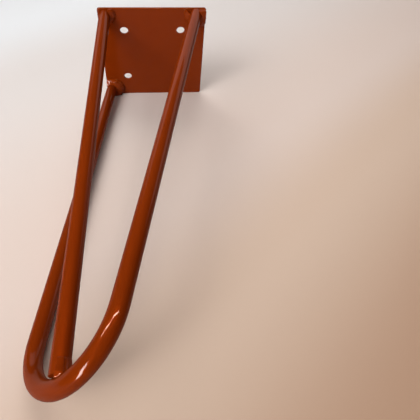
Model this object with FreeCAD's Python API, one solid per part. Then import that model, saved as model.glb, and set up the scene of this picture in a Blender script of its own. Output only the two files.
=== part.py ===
import FreeCAD, Part
import math
import os

# Hairpin table leg: a square mounting plate, one rod bent into a hairpin, a straight third rod and the welds
# that join them. Millimetres, +Z up as the leg stands in use. The origin is the centre of the screw holes on
# the plate's top face, which meets the table, and the leg reaches down from there.

# Overall
leg_height = 380.0

# Mounting plate
plate_side = 115.0
plate_thickness = 2.5
plate_corner_radius = 2.0
plate_edge_chamfer = 0.3
hole_spacing = 62.0
hole_diameter = 9.0

# Round rod, the same for both rods
rod_diameter = 12.0

# Hairpin: each limb is flush with one side of the plate and stands in from the other by this margin. The
# bend is one arc of this centreline radius, and its lowest point lies this far inside the plate's corner.
limb_margin = 4.0
bend_radius = 42.0
foot_inset = 0.5

# Third rod: margin to both sides of its corner, and the clearance under its end in the crook
third_rod_margin = 1.5
crook_clearance = 0.05

# Weld beads: scales laid one over the other round each rod's end. Each is turned from its bead's section,
# stands out further at its front by the step, which is a share of the bead's reach, and is longer than its
# share of the bead by the overlap. A section's points are (out from the rod's surface, back from its end).
limb_bead_section = ((0.2, 4.5), (5.0, 3.0), (8.0, 0.0), (8.0, -2.5))
third_rod_bead_section = ((0.2, 3.5), (3.5, 2.2), (5.5, 0.0), (5.5, -2.5))
foot_bead_section = ((0.1, 9.0), (0.7, 4.5), (1.7, 1.0), (1.7, -2.5))
scale_pitch = 4.2
scale_step = 0.12
scale_overlap = 1.15

# Places and spans round the rods, in degrees
limb_weld_span = 250.0
third_rod_weld_span = 180.0
foot_weld_start = 78.0
foot_weld_span = 172.0

rod_radius = rod_diameter / 2
half_side = plate_side / 2
underside = -plate_thickness
Vector = FreeCAD.Vector
DOWN = Vector(0, 0, -1)


def unit(vector):
    return vector * (1 / vector.Length)


def across(direction, reference):
    """Unit vector square to a rod's direction, as near as possible to the reference."""
    return unit(reference - direction * reference.dot(direction))


def rod_end(meeting_point, direction):
    """Centre of a square-cut end whose rim just touches the plate's underside."""
    tilt = direction.getAngle(DOWN)
    return meeting_point + direction * (rod_radius * math.tan(tilt))


def round_bar(start, end):
    return Part.makeCylinder(rod_radius, (end - start).Length, start, end - start)


class Hairpin:
    """Centreline of the bent rod: two limbs, both tangent to an arc whose lowest point is the foot."""

    def __init__(self):
        near = half_side - rod_radius
        far = half_side - rod_radius - limb_margin
        foot = half_side - foot_inset
        self.tops = [Vector(near, -far, underside), Vector(-far, near, underside)]
        self.foot = Vector(foot, foot, rod_radius - leg_height)
        middle = (self.tops[0] + self.tops[1]) * 0.5
        span = self.tops[0] - self.tops[1]
        self.side = unit(span)
        self.down = unit(self.foot - middle)
        self.normal = self.side.cross(self.down)
        self.centre = self.foot - self.down * bend_radius
        depth = (self.centre - middle).Length
        reach = math.hypot(span.Length / 2, depth)
        lean = math.atan2(span.Length / 2, depth) - math.asin(bend_radius / reach)
        straight = math.sqrt(reach ** 2 - bend_radius ** 2)
        self.directions = [
            self.down * math.cos(lean) - self.side * math.sin(lean),
            self.down * math.cos(lean) + self.side * math.sin(lean),
        ]
        self.tangents = [top + way * straight for top, way in zip(self.tops, self.directions)]
        self.ends = [rod_end(top, way) for top, way in zip(self.tops, self.directions)]

    def nearest(self, point):
        """Nearest point of the bend's centreline circle."""
        flat = point - self.centre
        flat = flat - self.normal * flat.dot(self.normal)
        return self.centre + unit(flat) * bend_radius

    def path(self):
        first_limb = Part.LineSegment(self.ends[0], self.tangents[0]).toShape()
        bend = Part.Arc(self.tangents[0], self.foot, self.tangents[1]).toShape()
        second_limb = Part.LineSegment(self.tangents[1], self.ends[1]).toShape()
        return Part.Wire([first_limb, bend, second_limb])


class ThirdRod:
    """Straight rod aimed at the lowest point of the bend, with both ends cut square."""

    def __init__(self, hairpin):
        place = half_side - rod_radius - third_rod_margin
        self.top = Vector(place, place, underside)
        self.direction = unit(hairpin.foot - self.top)
        self.end = rod_end(self.top, self.direction)
        self.lower_end = hairpin.foot - self.direction * self.seat(hairpin)

    def seat(self, hairpin):
        """Distance from the foot's centreline at which the end's rim clears the inside of the bend."""
        side = across(self.direction, hairpin.side)
        low, high = 0.0, bend_radius
        accuracy = crook_clearance / 100
        while high - low > accuracy:
            distance = (low + high) / 2
            rim = hairpin.foot - self.direction * distance + side * rod_radius
            if (rim - hairpin.nearest(rim)).Length < rod_radius + crook_clearance:
                low = distance
            else:
                high = distance
        return high


def make_mounting_plate():
    plate = Part.makeBox(plate_side, plate_side, plate_thickness, Vector(-half_side, -half_side, underside))
    corners = [edge for edge in plate.Edges if edge.BoundBox.ZLength > plate_thickness / 2]
    plate = plate.makeFillet(plate_corner_radius, corners)
    rims = [edge for edge in plate.Edges if edge.BoundBox.ZLength < plate_thickness / 2]
    plate = plate.makeChamfer(plate_edge_chamfer, rims)
    half_spacing = hole_spacing / 2
    for x in (-half_spacing, half_spacing):
        for y in (-half_spacing, half_spacing):
            hole = Part.makeCylinder(hole_diameter / 2, 3 * plate_thickness, Vector(x, y, 2 * underside))
            plate = plate.cut(hole)
    return plate


def make_hairpin_rod(hairpin):
    section = Part.Wire(Part.makeCircle(rod_radius, hairpin.ends[0], hairpin.directions[0]))
    return hairpin.path().makePipeShell([section], True, False)


def make_third_rod(rod):
    return round_bar(rod.end, rod.lower_end)


def weld_scales(end, inward, reference, start, span, section):
    """Scales round a rod's end, from the start angle on. Inward is the way from the end into the rod, and the
    angles turn about it, from the reference."""
    reach = max(out for out, _ in section)
    steps = round(math.radians(span) * (rod_radius + reach / 2) / scale_pitch)
    each = span / steps
    shift = scale_step * reach / (2 * math.sin(math.radians(each / 2)))
    first = across(inward, reference)
    core = -rod_radius / 2
    outline = [*section, (core, section[-1][1]), (core, section[0][1]), section[0]]
    scales = []
    for index in range(steps):
        turn = start + index * each
        outward = FreeCAD.Rotation(inward, turn).multVec(first)
        middle = FreeCAD.Rotation(inward, turn + each / 2).multVec(first)
        axis_point = end + inward.cross(middle) * shift
        points = [axis_point + outward * (rod_radius + out) + inward * back for out, back in outline]
        scale = Part.Face(Part.makePolygon(points)).revolve(axis_point, inward, each * scale_overlap)
        scales.append(scale)
    return scales


def make_plate_weld(meeting_point, end, direction, open_side, span, section, rod):
    """Bead between a rod's upper end and the plate. It fills the wedge over the square-cut end, and it leaves
    the side away from open_side free, where the rod stands at the plate's edge."""
    scales = weld_scales(end, direction, open_side, -span / 2, span, section)
    into_plate = meeting_point - (end - meeting_point) - direction * rod_radius
    wedge = round_bar(end, into_plate)
    corner = Vector(-half_side, -half_side, underside - leg_height)
    below_plate = Part.makeBox(plate_side, plate_side, leg_height, corner)
    return wedge.fuse(scales).common(below_plate).cut(rod)


def make_foot_weld(third, hairpin_rod, rod):
    """Bead on one side of the third rod's lower end. The other side stays open where the bend falls away."""
    scales = weld_scales(
        third.lower_end, -third.direction, Vector(1, 0, 0), foot_weld_start, foot_weld_span, foot_bead_section
    )
    return scales[0].fuse(scales[1:]).cut(rod).cut(hairpin_rod)


def make_parts():
    hairpin = Hairpin()
    third = ThirdRod(hairpin)
    hairpin_rod = make_hairpin_rod(hairpin)
    third_rod = make_third_rod(third)
    open_sides = (Vector(-1, 0, 0), Vector(0, -1, 0))
    limbs = zip(hairpin.tops, hairpin.ends, hairpin.directions, open_sides)
    limb_welds = [make_plate_weld(*limb, limb_weld_span, limb_bead_section, hairpin_rod) for limb in limbs]
    third_upper_end = (third.top, third.end, third.direction, Vector(-1, -1, 0))
    third_rod_weld = make_plate_weld(
        *third_upper_end, third_rod_weld_span, third_rod_bead_section, third_rod
    )
    return {
        "mounting_plate": make_mounting_plate(),
        "hairpin_rod": hairpin_rod,
        "third_rod": third_rod,
        "first_limb_weld": limb_welds[0],
        "second_limb_weld": limb_welds[1],
        "third_rod_top_weld": third_rod_weld,
        "third_rod_foot_weld": make_foot_weld(third, hairpin_rod, third_rod),
    }


os.makedirs("parts", exist_ok=True)
for name, shape in make_parts().items():
    shape.exportStep(f"parts/{name}.step")
    print(name, shape.ShapeType, len(shape.Solids), round(shape.Volume, 1), shape.isValid())
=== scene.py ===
import math

import bpy
from mathutils import Euler, Matrix, Vector


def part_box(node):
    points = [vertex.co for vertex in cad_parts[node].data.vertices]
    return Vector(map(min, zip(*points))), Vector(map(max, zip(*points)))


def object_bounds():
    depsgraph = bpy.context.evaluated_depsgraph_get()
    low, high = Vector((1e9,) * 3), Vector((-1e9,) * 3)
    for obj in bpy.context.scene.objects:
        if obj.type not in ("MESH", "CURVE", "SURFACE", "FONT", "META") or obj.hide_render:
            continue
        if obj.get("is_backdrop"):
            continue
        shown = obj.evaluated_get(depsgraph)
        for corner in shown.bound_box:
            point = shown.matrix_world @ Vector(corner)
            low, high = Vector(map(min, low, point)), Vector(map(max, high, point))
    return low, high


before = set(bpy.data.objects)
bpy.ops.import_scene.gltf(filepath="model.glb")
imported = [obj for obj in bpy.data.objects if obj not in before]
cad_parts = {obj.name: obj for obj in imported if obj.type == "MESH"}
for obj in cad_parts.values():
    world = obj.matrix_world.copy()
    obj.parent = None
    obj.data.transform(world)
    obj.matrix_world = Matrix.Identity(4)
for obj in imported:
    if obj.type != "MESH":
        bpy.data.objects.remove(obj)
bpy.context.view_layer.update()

# A hairpin table leg in red-brown powder coat, lying on a pale floor with its foot towards the camera.
# Metres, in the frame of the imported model: +Z up as the leg stands in use, the plate's top face at Z = 0.
# Colours are 8-bit sRGB.

# Camera: the photograph's viewing angle, with its optical centre a little up and left of the middle. The
# photograph's side, the focal length and the optical centre are in pixels, the sensor's width in millimetres.
photo_side = 420
focal_length = 441.35
optical_centre = (190.0, 190.0)
sensor_width = 36.0
camera_place = Vector((-0.0011, 0.3179, -0.4347))
camera_turn = Euler([math.radians(angle) for angle in (126.497, 3.814, 177.686)], "XYZ")

# Floor: it touches the plate's edge and the rod somewhere below this height. Its colour holds painted shade:
# darker and warmer at the near right, paler at the far left, changing along the slope from one stop's place
# to the next.
floor_size = 4.0
touching_below = -0.05
painted_shade_slope = Vector((0.68, -0.73, 0.0))
painted_shade_stops = (
    (-0.40, (178, 146, 123)),
    (-0.26, (203, 181, 164)),
    (-0.15, (212, 197, 189)),
    (0.14, (213, 209, 208)),
    (0.34, (226, 231, 236)),
)
floor_roughness = 0.8
floor_gloss = 0.1

# Powder coat: two close colours in small patches, softly rounded edges, and the scale and depth of the waves
# of orange peel, which are coarser on the weld beads
coat_colour = (119, 43, 5)
coat_dark = (111, 39, 4)
patch_scale = 60.0
coat_roughness = (0.27, 0.37)
edge_radius = 0.0005
smooth_peel = (420.0, 0.00001)
bead_peel = (260.0, 0.0005)

# Surroundings: pale as a backdrop, a soft fill for matt surfaces, and a dim room in the gloss
backdrop_colour = (240, 238, 236)
fill_strength = 0.18
room_colour = (214, 196, 186)
room_strength = 0.04

# Lamps: their colours, the side that the main light comes from, and the ways in which a lamp's length lies
daylight = (255, 250, 246)
tube_light = (255, 222, 196)
wall_light = (255, 232, 222)
main_side = (0.45, 0.62, -0.5)
upright = (0, 0, 1)
level = (1, 0, 0)
leaning = (0.17, 0.42, 0.37)
beam_spread = math.radians(50)

PLATE = ("mounting_plate",)
RODS = ("hairpin_rod", "third_rod")
WELDS = ("first_limb_weld", "second_limb_weld", "third_rod_top_weld", "third_rod_foot_weld")


def linear(colour):
    """Linear RGBA from 8-bit sRGB."""
    channels = []
    for value in colour:
        share = value / 255
        channels.append(share / 12.92 if share <= 0.04045 else ((share + 0.055) / 1.055) ** 2.4)
    return (*channels, 1.0)


def middle_of(corners):
    low, high = (Vector(corner) for corner in corners)
    return (low + high) / 2


class Nodes:
    """Short way to build a node tree."""

    def __init__(self, tree):
        self.tree = tree
        tree.nodes.clear()

    def add(self, kind, inputs=(), **settings):
        """New node. Each input, by name or place, takes a value or another node's socket."""
        node = self.tree.nodes.new(kind)
        for name, value in settings.items():
            setattr(node, name, value)
        for name, value in dict(inputs).items():
            if isinstance(value, bpy.types.NodeSocket):
                self.tree.links.new(value, node.inputs[name])
            else:
                node.inputs[name].default_value = value
        return node


def powder_coat(name, peel_scale, peel_depth):
    """Semi-gloss powder coat: a little uneven in colour, with the fine waves of orange peel in its gloss."""
    material = bpy.data.materials.new(name)
    material.use_nodes = True
    nodes = Nodes(material.node_tree)
    place = nodes.add("ShaderNodeTexCoord").outputs["Object"]
    patches = nodes.add("ShaderNodeTexNoise", {"Vector": place, "Scale": patch_scale, "Detail": 3.0})
    colour = nodes.add(
        "ShaderNodeMix",
        {"Factor": patches.outputs["Fac"], 6: linear(coat_colour), 7: linear(coat_dark)},
        data_type="RGBA",
    )
    peel = nodes.add(
        "ShaderNodeTexNoise", {"Vector": place, "Scale": peel_scale, "Detail": 2.0, "Roughness": 0.4}
    )
    rounded = nodes.add("ShaderNodeBevel", {"Radius": edge_radius}, samples=6)
    bump = nodes.add(
        "ShaderNodeBump",
        {
            "Height": peel.outputs["Fac"],
            "Normal": rounded.outputs["Normal"],
            "Strength": 1.0,
            "Distance": peel_depth,
        },
    )
    smoothest, roughest = coat_roughness
    roughness = nodes.add(
        "ShaderNodeMapRange", {"Value": patches.outputs["Fac"], "To Min": smoothest, "To Max": roughest}
    )
    coat = nodes.add(
        "ShaderNodeBsdfPrincipled",
        {
            "Base Color": colour.outputs[2],
            "Metallic": 0.07,
            "Roughness": roughness.outputs["Result"],
            "Normal": bump.outputs["Normal"],
            "Coat Normal": bump.outputs["Normal"],
            "Specular IOR Level": 0.0,
            "Coat Weight": 0.25,
            "Coat Roughness": 0.04,
        },
    )
    nodes.add("ShaderNodeOutputMaterial", {"Surface": coat.outputs["BSDF"]})
    return material


def paint(names, material):
    for name in names:
        for slot in bpy.data.objects[name].material_slots:
            slot.material = material


def floor_material():
    """Pale matt floor with painted shade, clear from behind so that the leg is seen from that side too."""
    material = bpy.data.materials.new("pale_floor")
    material.use_nodes = True
    nodes = Nodes(material.node_tree)
    place = nodes.add("ShaderNodeTexCoord").outputs["Object"]
    along = nodes.add("ShaderNodeVectorMath", {0: place, 1: painted_shade_slope}, operation="DOT_PRODUCT")
    first, last = painted_shade_stops[0][0], painted_shade_stops[-1][0]
    share = nodes.add(
        "ShaderNodeMapRange", {"Value": along.outputs["Value"], "From Min": first, "From Max": last}
    )
    # Painted shade: the ramp darkens the floor's colour along the slope towards the near right.
    shade = nodes.add("ShaderNodeValToRGB", {"Fac": share.outputs["Result"]})
    ramp = shade.color_ramp
    ramp.interpolation = "EASE"
    for stop, _ in painted_shade_stops[1:-1]:
        ramp.elements.new((stop - first) / (last - first))
    for element, (_, colour) in zip(ramp.elements, painted_shade_stops):
        element.color = linear(colour)
    matt = nodes.add(
        "ShaderNodeBsdfPrincipled",
        {
            "Base Color": shade.outputs["Color"],
            "Roughness": floor_roughness,
            "Specular IOR Level": floor_gloss,
        },
    )
    clear = nodes.add("ShaderNodeBsdfTransparent")
    behind = nodes.add("ShaderNodeNewGeometry").outputs["Backfacing"]
    surface = nodes.add(
        "ShaderNodeMixShader", {"Fac": behind, 1: matt.outputs["BSDF"], 2: clear.outputs["BSDF"]}
    )
    nodes.add("ShaderNodeOutputMaterial", {"Surface": surface.outputs["Shader"]})
    return material


def floor_tilt(edge):
    """Angle from the plate's edge down to the underside of the bend, on which the leg lies."""
    points = [vertex.co for vertex in bpy.data.objects["hairpin_rod"].data.vertices]
    low_points = [point for point in points if point.z < touching_below]
    return min(math.atan2(point.y - edge.y, edge.z - point.z) for point in low_points)


def make_floor():
    low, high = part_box("mounting_plate")
    edge = Vector(((low[0] + high[0]) / 2, low[1], low[2]))
    half = floor_size / 2
    corners = [(-half, -half, 0), (half, -half, 0), (half, half, 0), (-half, half, 0)]
    mesh = bpy.data.meshes.new("floor")
    mesh.from_pydata(corners, [], [(0, 1, 2, 3)])
    mesh.materials.append(floor_material())
    floor = bpy.data.objects.new("floor", mesh)
    floor.location = edge
    floor.rotation_euler = Euler((floor_tilt(edge) - math.pi / 2, 0, 0), "XYZ")
    bpy.context.scene.collection.objects.link(floor)
    floor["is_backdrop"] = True


def make_camera():
    data = bpy.data.cameras.new("camera")
    data.sensor_width = sensor_width
    data.lens = focal_length / photo_side * sensor_width
    data.shift_x = 0.5 - optical_centre[0] / photo_side
    data.shift_y = optical_centre[1] / photo_side - 0.5
    camera = bpy.data.objects.new("camera", data)
    camera.location = camera_place
    camera.rotation_euler = camera_turn
    bpy.context.scene.collection.objects.link(camera)
    bpy.context.scene.camera = camera


def make_surroundings():
    world = bpy.data.worlds.new("surroundings")
    world.use_nodes = True
    nodes = Nodes(world.node_tree)
    fill = nodes.add("ShaderNodeBackground", {"Color": linear(daylight), "Strength": fill_strength})
    room = nodes.add("ShaderNodeBackground", {"Color": linear(room_colour), "Strength": room_strength})
    backdrop = nodes.add("ShaderNodeBackground", {"Color": linear(backdrop_colour)})
    rays = nodes.add("ShaderNodeLightPath")
    lit = nodes.add(
        "ShaderNodeMixShader",
        {
            "Fac": rays.outputs["Is Glossy Ray"],
            1: fill.outputs["Background"],
            2: room.outputs["Background"],
        },
    )
    seen = nodes.add(
        "ShaderNodeMixShader",
        {
            "Fac": rays.outputs["Is Camera Ray"],
            1: lit.outputs["Shader"],
            2: backdrop.outputs["Background"],
        },
    )
    nodes.add("ShaderNodeOutputWorld", {"Surface": seen.outputs["Shader"]})
    bpy.context.scene.world = world


def make_lamp(name, aim, toward, along, distance, size, power, colour=daylight):
    """Soft lamp in the given direction from the point it is aimed at, with its length lying along."""
    data = bpy.data.lights.new(name, "AREA")
    data.shape = "RECTANGLE"
    data.size, data.size_y = size
    data.energy = power
    data.color = linear(colour)[:3]
    lamp = bpy.data.objects.new(name, data)
    back = Vector(toward).normalized()
    across = Vector(along).cross(back).normalized()
    turn = Matrix((across, back.cross(across), back)).transposed()
    lamp.matrix_world = Matrix.Translation(aim + back * distance) @ turn.to_4x4()
    bpy.context.scene.collection.objects.link(lamp)
    return lamp


def make_lights():
    """Three soft lamps for the light and shade, and a tube, a window and a wall seen only in the gloss."""
    leg = middle_of(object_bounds())
    plate = middle_of(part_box("mounting_plate"))
    front = make_lamp("front_lamp", leg, main_side, upright, 2.4, (3.0, 3.0), 49.0)
    far = make_lamp("far_lamp", leg, (0.1, 0.6, 0.8), level, 2.0, (1.6, 1.6), 21.5)
    beam = make_lamp("plate_lamp", plate, main_side, upright, 1.4, (0.6, 0.6), 1.3)
    beam.data.spread = beam_spread
    for lamp in (front, far, beam):
        lamp.visible_glossy = False
    tube = make_lamp("ceiling_tube", leg, (0.14, 0.99, 0.05), level, 1.6, (0.08, 2.1), 60.0, tube_light)
    window = make_lamp("window", leg, (0.43, 0.44, -0.79), leaning, 1.6, (0.26, 0.8), 34.0)
    wall = make_lamp("far_wall", leg, (-0.25, 0.25, 0.94), level, 2.2, (1.0, 5.0), 26.0, wall_light)
    for lamp in (tube, window, wall):
        lamp.visible_diffuse = False


bpy.context.scene.view_settings.view_transform = "Standard"
paint(PLATE, powder_coat("powder_coat_plate", *smooth_peel))
paint(RODS, powder_coat("powder_coat_rods", *smooth_peel))
paint(WELDS, powder_coat("powder_coat_welds", *bead_peel))
make_floor()
make_camera()
make_surroundings()
make_lights()
